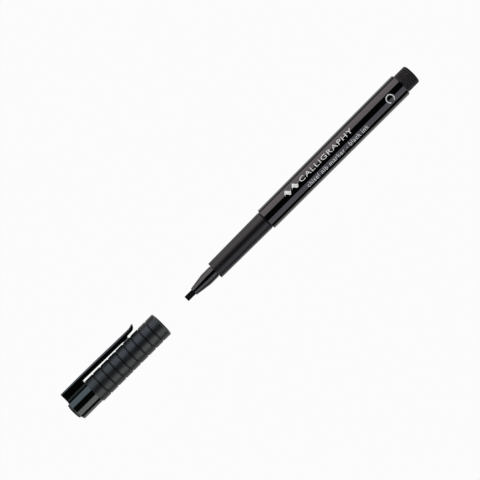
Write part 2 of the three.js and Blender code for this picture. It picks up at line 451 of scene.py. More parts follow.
def deselect_all() -> None:
    """Leaves object mode with nothing selected."""
    if bpy.context.object is not None and bpy.context.object.mode != "OBJECT":
        bpy.ops.object.mode_set(mode="OBJECT")
    bpy.ops.object.select_all(action="DESELECT")


def work_on(piece: bpy.types.Object) -> None:
    """Makes a piece the only selected and active object.

    Args:
        piece: the piece.
    """
    deselect_all()
    piece.select_set(True)
    bpy.context.view_layer.objects.active = piece


def edit(piece: bpy.types.Object) -> None:
    """Opens a piece in edit mode."""
    work_on(piece)
    bpy.ops.object.mode_set(mode="EDIT")


def named(name: str) -> bpy.types.Object:
    """Names the object just added, and its data.

    Args:
        name: the name of both.

    Returns:
        The object.
    """
    piece = bpy.context.object
    piece.name = piece.data.name = name
    return piece


def take_place() -> None:
    """Moves the active object's place, turn and size into its mesh."""
    bpy.ops.object.transform_apply(location=True, rotation=True, scale=True)


def pick(piece: bpy.types.Object, vert: PointTest | None = None, face: FaceTest | None = None) -> int:
    """Selects just the vertices or faces of a piece in edit mode that a test accepts.

    Args:
        piece: the piece, in edit mode.
        vert: test on a vertex's place.
        face: test on a face's centre and normal.

    Returns:
        How many were selected.
    """
    bpy.ops.mesh.select_mode(type="VERT" if vert else "FACE")
    bpy.ops.mesh.select_all(action="DESELECT")
    bpy.ops.object.mode_set(mode="OBJECT")
    if vert:
        chosen = [v for v in piece.data.vertices if vert(v.co)]
    else:
        chosen = [f for f in piece.data.polygons if face(f.center, f.normal)]
    for element in chosen:
        element.select = True
    bpy.ops.object.mode_set(mode="EDIT")
    return len(chosen)


def apply_modifier(piece: bpy.types.Object, kind: str, **settings: object) -> None:
    """Adds a modifier to a piece and applies it.

    Args:
        piece: the piece.
        kind: the modifier's type name.
        settings: the modifier's settings by name.
    """
    work_on(piece)
    modifier = piece.modifiers.new(kind.title(), kind)
    for name, value in settings.items():
        setattr(modifier, name, value)
    bpy.ops.object.modifier_apply(modifier=modifier.name)


def soften(piece: bpy.types.Object, width: float, angle: float = 40.0) -> None:
    """Rounds every edge of a piece that turns more sharply than angle, in degrees."""
    apply_modifier(piece, "BEVEL", width=width, segments=3, limit_method="ANGLE",
                   angle_limit=math.radians(angle), use_clamp_overlap=True)


def close_up() -> None:
    """Merges doubled points of the piece in edit mode, turns all faces outwards and leaves edit mode."""
    bpy.ops.mesh.select_mode(type="VERT")
    bpy.ops.mesh.select_all(action="SELECT")
    bpy.ops.mesh.remove_doubles(threshold=WELD)
    bpy.ops.mesh.normals_make_consistent(inside=False)
    bpy.ops.object.mode_set(mode="OBJECT")


def smooth(piece: bpy.types.Object) -> None:
    """Shades a piece smooth, except over its sharp edges, so that a long side stays straight beside its rims.

    Args:
        piece: the piece.
    """
    work_on(piece)
    bpy.ops.object.shade_smooth_by_angle(angle=SMOOTH_ANGLE)
    apply_modifier(piece, "WEIGHTED_NORMAL", mode="FACE_AREA", weight=100, keep_sharp=True)


def settle(piece: bpy.types.Object, finish: Finish, slot: Slot, body: Body | None, *replaced: str) -> None:
    """Dresses a finished piece and hands it to the frame.

    Args:
        piece: the piece, with its place in its mesh.
        finish: the finish that builds its material.
        slot: the record's slot that the finish stands for; not used.
        body: the body it rides on, or None where it bends between two.
        replaced: the frame's nodes that it stands for.
    """
    smooth(piece)
    piece.data.materials.clear()
    piece.data.materials.append(finish.material())
    if replaced:
        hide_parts(*replaced)
    if body is not None:
        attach(piece, body.value)
    LIT[body or Body.CAP].append(piece)
    LOG.info("%s: %d faces", piece.name, len(piece.data.polygons))


class Turning:
    """A piece turned about the pen's axis, drawn ring by ring from a first circle."""

    def __init__(self, name: str, x: float, radius: float, sides: int = SIDES) -> None:
        """Starts with a bare circle, in edit mode.

        Args:
            name: the piece's name.
            x: the circle's place along the pen.
            radius: its radius.
            sides: how many flats it has.
        """
        deselect_all()
        bpy.ops.mesh.primitive_circle_add(vertices=sides, radius=radius, fill_type="NOTHING",
                                          location=(x, 0, 0), rotation=(0, math.pi / 2, 0))
        self.piece = named(name)
        take_place()
        bpy.ops.object.mode_set(mode="EDIT")
        bpy.ops.mesh.select_mode(type="VERT")
        bpy.ops.mesh.select_all(action="SELECT")
        self.first = (x, radius)
        self.x, self.radius = x, radius

    def to(self, x: float, radius: float) -> Turning:
        """Extrudes the open ring to a new place.

        Args:
            x: the new ring's place along the pen.
            radius: its radius.

        Returns:
            This turning.
        """
        bpy.ops.mesh.extrude_region_move(TRANSFORM_OT_translate={"value": (x - self.x, 0, 0)})
        ratio = radius / self.radius
        bpy.ops.transform.resize(value=(1, ratio, ratio), center_override=(x, 0, 0))
        self.x, self.radius = x, radius
        return self

    def through(self, rings: Iterable[Pair]) -> Turning:
        """Extrudes the open ring through several others in turn.

        Args:
            rings: the (x, radius) of each.

        Returns:
            This turning.
        """
        for x, radius in rings:
            self.to(x, radius)
        return self

    def dome(self, rise: float, steps: int = 6) -> Turning:
        """Ends on the axis with a shallow dome.

        Args:
            rise: how far the dome stands out of the last ring's plane.
            steps: how many rings it has.

        Returns:
            This turning.
        """
        x, radius = self.x, self.radius
        for i in range(1, steps):
            share = 1 - i / steps
            self.to(x + rise * (1 - share * share), radius * share)
        return self.to_axis(x + rise)

    def to_axis(self, x: float) -> Turning:
        """Ends the open ring in a point on the axis.

        Args:
            x: the point's place along the pen.

        Returns:
            This turning.
        """
        self.to(x, self.radius * TIP_SHARE)
        bpy.ops.mesh.merge(type="CENTER")
        return self

    def to_start(self) -> Turning:
        """Joins the open ring to the first one, so that the profile is closed."""
        return self.to(*self.first)

    def cap_start(self) -> Turning:
        """Fills the first circle with a fan of faces round a point on the axis.

        Returns:
            This turning.
        """
        x, radius = self.first
        pick(self.piece, vert=lambda co: abs(co.x - x) < TOUCH and abs(co.yz.length - radius) < TOUCH)
        bpy.ops.mesh.edge_face_add()
        pick(self.piece, face=lambda centre, normal: abs(centre.x - x) < TOUCH and centre.yz.length < TOUCH)
        bpy.ops.mesh.poke()
        return self

    def done(self) -> bpy.types.Object:
        """Closes the mesh and gives the piece."""
        close_up()
        return self.piece


def new_block(name: str, low: Point, high: Point) -> bpy.types.Object:
    """Adds a block, with its place in its mesh.

    Args:
        name: the block's name.
        low: its lowest corner.
        high: its highest corner.

    Returns:
        The block.
    """
    deselect_all()
    middle = [(a + b) / 2 for a, b in zip(low, high)]
    bpy.ops.mesh.primitive_cube_add(size=1, location=middle)
    block = named(name)
    block.scale = [b - a for a, b in zip(low, high)]
    take_place()
    return block


def combine(piece: bpy.types.Object, tool: bpy.types.Object, operation: str) -> None:
    """Joins a tool to a piece, or cuts it away, and discards the tool."""
    apply_modifier(piece, "BOOLEAN", object=tool, operation=operation, solver="EXACT")
    bpy.data.objects.remove(tool)


def arc(x0: float, r0: float, x1: float, r1: float, steps: int = 5) -> list[Pair]:
    """Rings of a quarter-round edge from one (x, radius) to another, bulging away from the axis.

    Args:
        x0: place of the first ring, which is left out.
        r0: its radius.
        x1: place of the last ring.
        r1: its radius.
        steps: how many rings the edge has.

    Returns:
        The (x, radius) rings after the first.
    """
    rings = []
    for i in range(1, steps + 1):
        turn = math.pi / 2 * i / steps
        along, up = (1 - math.cos(turn), math.sin(turn)) if r1 > r0 else (math.sin(turn), 1 - math.cos(turn))
        rings.append((x0 + (x1 - x0) * along, r0 + (r1 - r0) * up))
    return rings


# ---------------------------------------------------------------- the print


class Mark(Protocol):
    """A mark of the print, by its place along the pen and how far its middle lies to the clip's side."""

    name: str

    def draw(self, lift: float) -> bpy.types.Object:
        """Draws the mark flat, that high above the axis, and gives its mesh."""


@dataclass(frozen=True)
class Lettering:
    """A line of plain lettering; height is that of its whole outline."""

    name: str
    words: str
    start: float
    length: float
    middle: float
    height: float
    spacing: float = 1.12
    curve_steps: int = 4

    def draw(self, lift: float) -> bpy.types.Object:
        """Sets the line flat above the barrel.

        Args:
            lift: how high it lies above the axis.

        Returns:
            The lettering as a mesh.
        """
        deselect_all()
        bpy.ops.object.text_add(location=(0, 0, 0))
        text = bpy.context.object
        text.name = self.name
        text.data.body = self.words
        text.data.resolution_u = self.curve_steps
        text.data.space_character = self.spacing
        bpy.ops.object.convert(target="MESH")
        text = named(self.name)
        xs = [v.co.x for v in text.data.vertices]
        ys = [v.co.y for v in text.data.vertices]
        wide, tall = self.length / (max(xs) - min(xs)), self.height / (max(ys) - min(ys))
        text.scale = (wide, tall, 1)
        text.location = (self.start - wide * min(xs), self.middle - tall * (max(ys) + min(ys)) / 2, lift)
        take_place()
        return text


@dataclass(frozen=True)
class Stroke:
    """A plain broad-nib stroke, thick in its middle and thin at its ends, that leans and swings."""

    name: str
    start: float
    middle: float
    width: float = 3.3 * MM
    thick: float = 1.3 * MM
    lean: float = 0.9 * MM
    swing: float = 0.75 * MM
    steps: int = 14

    def draw(self, lift: float) -> bpy.types.Object:
        """Draws the stroke flat above the barrel.

        Args:
            lift: how high it lies above the axis.

        Returns:
            The stroke as a mesh.
        """
        deselect_all()
        bpy.ops.mesh.primitive_plane_add(size=1)
        stroke = named(self.name)
        stroke.scale = (self.width, self.thick, 1)
        stroke.location = (self.start + self.width / 2, self.middle, lift)
        take_place()
        bpy.ops.object.mode_set(mode="EDIT")
        for i in range(1, self.steps):
            bpy.ops.mesh.select_all(action="SELECT")
            bpy.ops.mesh.bisect(plane_co=(self.start + self.width * i / self.steps, 0, 0), plane_no=(1, 0, 0))
        bpy.ops.object.mode_set(mode="OBJECT")
        for v in stroke.data.vertices:
            share = (v.co.x - self.start) / self.width
            v.co.x += self.lean * (v.co.y - self.middle) / self.thick
            v.co.y += self.swing * math.sin(2 * math.pi * share)
        return stroke


@dataclass(frozen=True)
class OpenRing:
    """A plain ring with a gap in it; the gap starts at an angle in degrees and is that wide."""

    name: str
    centre: float
    middle: float
    radius: float = 1.72 * MM
    thick: float = 0.42 * MM
    sides: int = 64
    gap_start: float = -118.0
    gap: float = 56.0

    def draw(self, lift: float) -> bpy.types.Object:
        """Draws the ring flat above the barrel.

        Args:
            lift: how high it lies above the axis.

        Returns:
            The ring as a mesh.
        """
        place = (self.centre, self.middle, lift)
        outside, inside = self.radius + self.thick / 2, self.radius - self.thick / 2
        deselect_all()
        bpy.ops.mesh.primitive_circle_add(vertices=self.sides, radius=outside, fill_type="NOTHING",
                                          location=place)
        ring = named(self.name)
        take_place()
        bpy.ops.object.mode_set(mode="EDIT")
        bpy.ops.mesh.select_all(action="SELECT")
        bpy.ops.mesh.extrude_region_move()
        ratio = inside / outside
        bpy.ops.transform.resize(value=(ratio, ratio, 1), center_override=place)

        def in_gap(centre: Vector, normal: Vector) -> bool:
            """Tells if a face of the ring lies in its gap."""
            around = math.degrees(math.atan2(centre.y - self.middle, centre.x - self.centre))
            return self.gap_start < around < self.gap_start + self.gap

        pick(ring, face=in_gap)
        bpy.ops.mesh.delete(type="FACE")
        if pick(ring, face=lambda centre, normal: normal.z < 0):
            bpy.ops.mesh.flip_normals()
        bpy.ops.object.mode_set(mode="OBJECT")
        return ring


# ---------------------------------------------------------------- the pen


@dataclass
class Barrel:
    """Long glossy tube, slightly thicker at the rear, with white print on its upper side."""

    front_radius: float = 5.03 * MM
    bore: float = 4.16 * MM
    front_rim: float = 0.07 * MM
    rear_rim: float = 0.36 * MM
    print_lift: float = 0.012 * MM
    print_thickness: float = 0.012 * MM
    upper_line: float = 1.45 * MM
    lower_line: float = -2.3 * MM
    ring_line: float = -0.96 * MM

    def __post_init__(self) -> None:
        """Reads where the barrel is."""
        low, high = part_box("barrel")
        self.front, self.rear = low.x, high.x
        self.rear_radius = high.z

    def tube(self) -> bpy.types.Object:
        """Builds the tube: outside, rear rim, bore and front rim.

        Returns:
            The tube.
        """
        rim, lip = self.rear_rim, self.front_rim
        turning = Turning("barrel_tube", self.front, self.front_radius - lip)
        turning.through(arc(self.front, self.front_radius - lip, self.front + lip, self.front_radius, 3))
        turning.to(self.rear - rim, self.rear_radius)
        turning.through(arc(self.rear - rim, self.rear_radius, self.rear, self.rear_radius - rim, 6))
        turning.through([
            (self.rear, self.bore + lip),
            (self.rear - lip, self.bore),
            (self.front + lip, self.bore),
            (self.front, self.bore + lip),
        ])
        piece = turning.to_start().done()
        settle(piece, BARREL_GLOSS, Slot.BARREL, Body.PEN, "barrel")
        return piece

    def marks(self) -> list[Mark]:
        """Gives the print: two strokes and a line above, a line below, and a ring near the rear."""
        return [
            Stroke("print_stroke_1", self.front + 12.2 * MM, self.upper_line),
            Stroke("print_stroke_2", self.front + 16.3 * MM, self.upper_line),
            Lettering("print_first_line", "CALLIGRAPHY", self.front + 20.8 * MM, 29.6 * MM,
                      self.upper_line, height=2.0 * MM),
            Lettering("print_second_line", "chisel nib marker - black ink", self.front + 21.6 * MM, 34.6 * MM,
                      self.lower_line, height=1.8 * MM),
            OpenRing("print_ring", self.rear - 7.7 * MM, self.ring_line),
        ]

    def wrap(self, mark: bpy.types.Object, tube: bpy.types.Object) -> None:
        """Lays a flat mark onto the tube as a thin closed film of ink.

        Args:
            mark: the mark, above the tube.
            tube: the tube.
        """
        edit(mark)
        bpy.ops.mesh.select_all(action="SELECT")
        bpy.ops.mesh.quads_convert_to_tris()
        bpy.ops.mesh.subdivide(number_cuts=2)
        bpy.ops.object.mode_set(mode="OBJECT")
        apply_modifier(mark, "SHRINKWRAP", target=tube, wrap_method="PROJECT", use_project_z=True,
                       use_negative_direction=True, use_positive_direction=False, offset=self.print_lift)
        apply_modifier(mark, "SOLIDIFY", thickness=self.print_thickness, offset=-1.0)
        settle(mark, WHITE_PRINT, Slot.BARREL, Body.PEN)

    def build(self) -> None:
        """Builds the tube and its print."""
        tube = self.tube()
        for mark in self.marks():
            self.wrap(mark.draw(2 * self.rear_radius), tube)


@dataclass
class EndPlug:
    """Matt plug in the barrel's rear, with fine flutes, a round rim and a slightly domed end.

    Each row of flute_shape is a number of points from a flute's middle and its share of the depth there, and
    flute_ends is how far the flutes run: past the shoulder in collars, and past the rim's start in rims.
    """

    flutes: int = 32
    points_per_flute: int = 8
    flute_depth: float = 0.3 * MM
    flute_shape: tuple[tuple[int, float], ...] = ((0, 1.0), (1, 0.72), (2, 0.2))
    flute_ends: Pair = (1.2, 0.3)
    edge: float = 0.1 * MM
    collar: float = 0.35 * MM
    rim: float = 0.75 * MM
    rise: float = 0.12 * MM
    spigot: float = 4.1 * MM
    cup: float = 3.25 * MM
    cup_floor: float = 1.6 * MM

    def __post_init__(self) -> None:
        """Reads where the plug is."""
        low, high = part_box("end_plug")
        self.inner_end, self.end = low.x, high.x
        self.radius = high.z
        self.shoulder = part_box("barrel")[1].x + JOINT_GAP

    def build(self) -> None:
        """Builds the plug with its spigot, and presses the flutes into its side."""
        flat_end = self.end - self.rise
        side_end = flat_end - self.rim
        sides = self.flutes * self.points_per_flute
        turning = Turning("plug", self.shoulder - self.cup_floor, self.cup, sides)
        turning.through([
            (self.inner_end, self.cup),
            (self.inner_end, self.spigot),
            (self.shoulder, self.spigot),
            (self.shoulder, self.radius - self.edge),
            (self.shoulder + self.edge, self.radius),
            (self.shoulder + self.collar, self.radius),
            (self.shoulder + 1.5 * self.collar, self.radius),
            (side_end - self.collar, self.radius),
            (side_end, self.radius),
        ])
        turning.through(arc(side_end, self.radius, flat_end, self.radius - self.rim, 7))
        piece = turning.dome(self.rise).cap_start().done()
        past_shoulder, past_rim = self.flute_ends
        self.press_flutes(piece, self.shoulder + past_shoulder * self.collar, side_end + past_rim * self.rim)
        settle(piece, PLUG_MATT, Slot.PLUG, Body.PEN, "end_plug")

    def press_flutes(self, piece: bpy.types.Object, start: float, stop: float) -> None:
        """Draws in the side's points, deepest in the middle of each flute.

        Args:
            piece: the plug.
            start: where the flutes start along the pen.
            stop: where they end.
        """
        pitch = 2 * math.pi / self.flutes
        step = pitch / self.points_per_flute
        edit(piece)
        for steps_off, share in self.flute_shape:
            def in_flute(co: Vector) -> bool:
                """Tells if a point is on the side and this many steps from a flute's middle."""
                around = math.atan2(co.z, co.y) % pitch
                off = min(around, pitch - around)
                on_side = start < co.x < stop and co.yz.length > self.radius - self.flute_depth
                return on_side and abs(off - steps_off * step) < step / 2

            ratio = 1 - self.flute_depth * share / self.radius
            pick(piece, vert=in_flute)
            bpy.ops.transform.resize(value=(1, ratio, ratio), center_override=PEN_LINE)
        bpy.ops.object.mode_set(mode="OBJECT")


@dataclass
class GripSection:
    """Matt section that the fingers hold, a little thicker towards the barrel, with a groove before it."""

    front_radius: float = 3.99 * MM
    rear_radius: float = 4.28 * MM
    rim: float = 0.28 * MM
    groove: float = 0.56 * MM
    groove_depth: float = 0.23 * MM
    front_bore: float = 2.89 * MM
    bore_lead: float = 0.08 * MM
    rear_bore: float = 3.22 * MM
    step: float = 3.7 * MM
    spigot: float = 4.1 * MM

    def build(self) -> None:
        """Builds the section with its spigot inside the barrel."""
        low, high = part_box("grip_section")
        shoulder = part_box("barrel")[0].x - JOINT_GAP
        turning = Turning("grip", low.x, self.front_radius - self.rim)
        turning.through(arc(low.x, self.front_radius - self.rim, low.x + self.rim, self.front_radius))
        turning.through([
            (shoulder - self.groove, self.rear_radius),
            (shoulder - self.groove / 2, self.rear_radius - self.groove_depth),
            (shoulder, self.rear_radius),
            (shoulder, self.spigot),
            (high.x, self.spigot),
            (high.x, self.rear_bore),
            (low.x + self.step, self.rear_bore),
            (low.x + self.step, self.front_bore),
            (low.x + self.bore_lead, self.front_bore),
            (low.x, self.front_bore + self.bore_lead),
        ])
        piece = turning.to_start().done()
        settle(piece, GRIP_MATT, Slot.GRIP, Body.PEN, "grip_section")


@dataclass
class Nib:
    """Chisel nib of bonded fibre: a flat blade on a round shank, bevelled from both sides to its edge."""

    width: float = 2.5 * MM
    thickness: float = 1.45 * MM
    edge: float = 0.45 * MM
    bevel: float = 2.6 * MM
    blade: float = 7.5 * MM
    corner: float = 0.11 * MM
    corner_angle: float = 12.0
    shank: float = 1.1 * MM
    shank_sides: int = 32
    overlap: float = 1.0 * MM
    point: float = 2.5 * MM
    point_share: float = 0.2

    def build(self) -> None:
        """Builds the blade from a block, thins its front and joins the shank."""
        low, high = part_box("nib")
        half_width, half_height = self.width / 2, self.thickness / 2
        blade_end = low.x + self.blade
        blade = new_block("nib_blade", (low.x, -half_width, -half_height),
                          (blade_end, half_width, half_height))
        edit(blade)
        bpy.ops.mesh.select_all(action="SELECT")
        bpy.ops.mesh.bisect(plane_co=(low.x + self.bevel, 0, 0), plane_no=(1, 0, 0))
        pick(blade, vert=lambda co: co.x < low.x + TOUCH)
        bpy.ops.transform.resize(value=(1, 1, self.edge / self.thickness), center_override=PEN_LINE)
        close_up()
        soften(blade, self.corner, self.corner_angle)
        shank = Turning("shank", blade_end - self.overlap, self.shank, self.shank_sides)
        shank.to(high.x - self.point, self.shank).to(high.x, self.point_share * self.shank)
        combine(blade, shank.to_axis(high.x).cap_start().done(), "UNION")
        settle(blade, NIB_FIBRE, Slot.NIB, Body.PEN, "nib")


@dataclass
class NoseCone:
    """Glossy cone that holds the nib in a slot, rounding off into a short cylinder.

    The flange inside the grip is (front, rear, radius). The seam before the grip is a groove whose corners,
    all but the first, lie at seam_walls of its width from the grip's front.
    """

    tip_radius: float = 1.79 * MM
    cone_radius: float = 2.66 * MM
    radius: float = 2.82 * MM
    cone_length: float = 6.0 * MM
    rim: float = 0.16 * MM
    bend: float = 1.8 * MM
    bend_steps: int = 8
    flange: Point = (16.0 * MM, 17.2 * MM, 3.15 * MM)
    tail_radius: float = 2.5 * MM
    seam_width: float = 0.42 * MM
    seam_depth: float = 0.24 * MM
    seam_walls: Point = (-0.8, 0.2, 0.4)
    slot_room: float = 0.07 * MM
    slot_depth: float = 3.0 * MM
    slot_corner: float = 0.15 * MM
    bore: float = 1.5 * MM
    bore_sides: int = 48
    reach: float = 1.0 * MM

    def cut_for(self, nib: Nib, piece: bpy.types.Object, low_x: float, high_x: float) -> None:
        """Cuts the nib's slot and the bore behind it.

        Args:
            nib: the nib that the cone holds.
            piece: the cone.
            low_x: the cone's front end along the pen.
            high_x: its rear end.
        """
        half_width, half_height = nib.width / 2 + self.slot_room, nib.thickness / 2 + self.slot_room
        slot_end = low_x + self.slot_depth
        slot = new_block("slot", (low_x - self.reach, -half_width, -half_height),
                         (slot_end + self.reach, half_width, half_height))
        soften(slot, self.slot_corner)
        combine(piece, slot, "DIFFERENCE")
        bore = Turning("bore", slot_end, self.bore, self.bore_sides).to(high_x + self.reach, self.bore)
        combine(piece, bore.to_axis(high_x + self.reach).cap_start().done(), "DIFFERENCE")

    def build(self, nib: Nib) -> None:
        """Builds the cone and makes room in it for the nib.

        Args:
            nib: the nib that the cone holds.
        """
        low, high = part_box("nose_cone")
        turning = Turning("nose", low.x, self.tip_radius - self.rim)
        turning.through(arc(low.x, self.tip_radius - self.rim, low.x + self.rim, self.tip_radius, 4))
        bend_start = low.x + self.cone_length
        turning.to(bend_start, self.cone_radius)
        for i in range(1, self.bend_steps + 1):
            share = i / self.bend_steps
            rise = (self.radius - self.cone_radius) * (2 * share - share * share)
            turning.to(bend_start + self.bend * share, self.cone_radius + rise)
        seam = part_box("grip_section")[0].x
        seam_floor = self.radius - self.seam_depth
        floor_start, floor_end, wall_end = (seam + self.seam_width * share for share in self.seam_walls)
        flange_front, flange_rear, flange_radius = self.flange
        turning.through([
            (seam - self.seam_width, self.radius),
            (floor_start, seam_floor),
            (floor_end, seam_floor),
            (wall_end, self.radius),
            (low.x + flange_front, self.radius),
            (low.x + flange_front, flange_radius),
            (low.x + flange_rear, flange_radius),
            (low.x + flange_rear, self.tail_radius),
            (high.x, self.tail_radius),
        ])
        piece = turning.to_axis(high.x).cap_start().done()
        self.cut_for(nib, piece, low.x, high.x)
        settle(piece, NOSE_GLOSS, Slot.NOSE, Body.PEN, "nose_cone")


@dataclass
class InkStore:
    """The fibre rod and its film, which stay as the frame has them."""

    def build(self) -> None:
        """Dresses both."""
        for node, finish in (("ink_reservoir", INK_FIBRE), ("reservoir_film", CLEAR_FILM)):
            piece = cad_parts[node]
            piece.data.materials.clear()
            piece.data.materials.append(finish.material())
            LIT[Body.PEN].append(piece)
            LOG.info("%s: dressed", node)


# ---------------------------------------------------------------- the cap


@dataclass
class CapSleeve:
    """Matt sleeve over the cap's core, cut by round grooves into bands; its front is the cap's mouth."""

    bands: int = 9
    groove_width: float = 0.66 * MM
    groove_depth: float = 0.34 * MM
    groove_bottom: float = 0.16
    lip: float = 0.06 * MM
    rim: float = 0.45 * MM
    bore: float = 5.01 * MM
    mouth_bore: float = 4.45 * MM
    mouth_length: float = 1.5 * MM
    mouth_lead: float = 0.08 * MM

    def build(self) -> None:
        """Builds the sleeve from its mouth to its rear end and back along its bore."""
        low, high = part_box("cap_sleeve")
        radius = high.z
        pitch = (high.x - low.x) / self.bands
        half = self.groove_width / 2
        turning = Turning("sleeve", high.x, radius - self.rim)
        turning.through(arc(high.x, radius - self.rim, high.x - self.rim, radius, 4))
        for i in range(1, self.bands):
            middle = high.x - i * pitch
            turning.through([
                (middle + half + self.lip, radius),
                (middle + half, radius - self.lip),
                (middle + self.groove_bottom * half, radius - self.groove_depth),
                (middle - self.groove_bottom * half, radius - self.groove_depth),
                (middle - half, radius - self.lip),
                (middle - half - self.lip, radius),
            ])
        turning.through([
            (low.x + self.lip, radius),
            (low.x, radius - self.lip),
            (low.x, self.bore),
            (high.x - self.mouth_length, self.bore),
            (high.x - self.mouth_length, self.mouth_bore),
            (high.x - self.mouth_lead, self.mouth_bore),
            (high.x, self.mouth_bore + self.mouth_lead),
        ])
        piece = turning.to_start().done()
        settle(piece, SLEEVE_MATT, Slot.SLEEVE, Body.CAP, "cap_sleeve")


@dataclass
class CapCore:
    """Core tube under the sleeve, and the inner cap pushed down inside it."""

    radius: float = 4.94 * MM
    bore: float = 4.45 * MM
    mouth_gap: float = 1.62 * MM
    liner_radius: float = 3.7 * MM
    liner_bore: float = 3.0 * MM
    liner_lip: float = 2.9 * MM
    liner_rim: float = 0.3 * MM
    lip_end: float = 1.0 * MM
    bore_start: float = 1.3 * MM
    flange: float = 0.55 * MM
    flange_room: float = 0.05 * MM
    floor: float = 0.5 * MM

    def build(self) -> None:
        """Builds both."""
        sleeve_low, sleeve_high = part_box("cap_sleeve")
        turning = Turning("cap_core", sleeve_high.x - self.mouth_gap, self.radius)
        turning.through([
            (sleeve_low.x, self.radius),
            (sleeve_low.x, self.bore),
            (sleeve_high.x - self.mouth_gap, self.bore),
        ])
        piece = turning.to_start().done()
        settle(piece, CAP_GLOSS, Slot.CAP, Body.CAP, "cap_shell")
        self.inner_cap()

    def inner_cap(self) -> None:
        """Builds the cup that closes on the nose cone, with a rounded lip and a flange round its mouth."""
        low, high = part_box("inner_cap")
        rim = self.liner_rim
        turning = Turning("liner", low.x, self.liner_radius - rim)
        turning.through(arc(low.x, self.liner_radius - rim, low.x + rim, self.liner_radius, 4))
        turning.through([
            (high.x - self.flange, self.liner_radius),
            (high.x - self.flange, self.bore - self.flange_room),
            (high.x, self.bore - self.flange_room),
            (high.x, self.liner_lip + rim),
        ])
        turning.through([(high.x - rim * (1 - math.cos(turn)), self.liner_lip + rim * (1 - math.sin(turn)))
                         for turn in (math.pi / 8, math.pi / 4, 3 * math.pi / 8, math.pi / 2)])
        turning.through([
            (high.x - self.lip_end, self.liner_lip),
            (high.x - self.bore_start, self.liner_bore),
            (low.x + self.floor + rim, self.liner_bore),
            (low.x + self.floor, self.liner_bore - rim),
        ])
        piece = turning.to_axis(low.x + self.floor).cap_start().done()
        settle(piece, LINER_WAXY, Slot.LINER, Body.CAP, "inner_cap")


@dataclass
class CapDisc:
    """Low matt button in the crown's closed end."""

    rim: float = 0.38 * MM
    rise: float = 0.14 * MM
    seat: float = 1.9 * MM

    def build(self) -> None:
        """Builds the button from its seat outwards."""
        low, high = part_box("cap_end_disc")
        radius = high.z
        face = low.x + self.rise
        turning = Turning("cap_button", low.x + self.seat, radius)
        turning.to(face + self.rim, radius)
        turning.through(arc(face + self.rim, radius, face, radius - self.rim))
        piece = turning.dome(-self.rise).cap_start().done()
        settle(piece, SLEEVE_MATT, Slot.SLEEVE, Body.CAP, "cap_end_disc")


